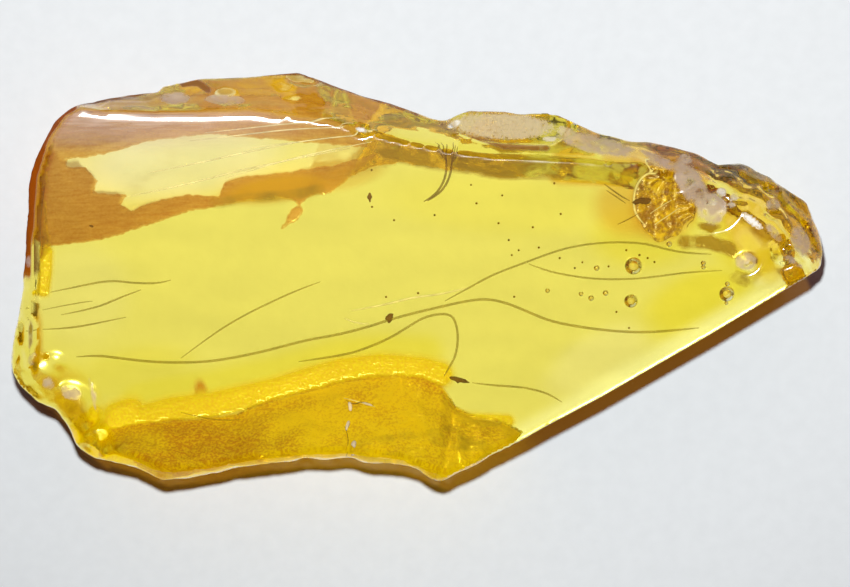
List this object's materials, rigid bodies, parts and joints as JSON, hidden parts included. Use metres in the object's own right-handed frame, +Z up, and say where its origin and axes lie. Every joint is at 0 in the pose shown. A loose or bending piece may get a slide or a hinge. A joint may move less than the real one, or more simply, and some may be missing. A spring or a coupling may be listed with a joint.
{
  "type": "raw amber piece",
  "caption": "Irregular slab of clear yellow amber with a polished flat top, one straight sawn side, broken rounded sides and a flat underside to rest on.",
  "frame": {"origin": "on the surface the piece rests on, under the middle of its bounding box", "axes": "+X along the length towards the pointed end, +Y towards the ledge side, +Z up out of the polished top"},
  "size_m": [0.05, 0.0252, 0.007],
  "materials": {
    "amber": "clear yellow fossil resin, polished on top and on the sawn side, broken and frosted round the rim"
  },
  "bodies": {
    "root": {"amber": "amber"}
  },
  "joints": []
}
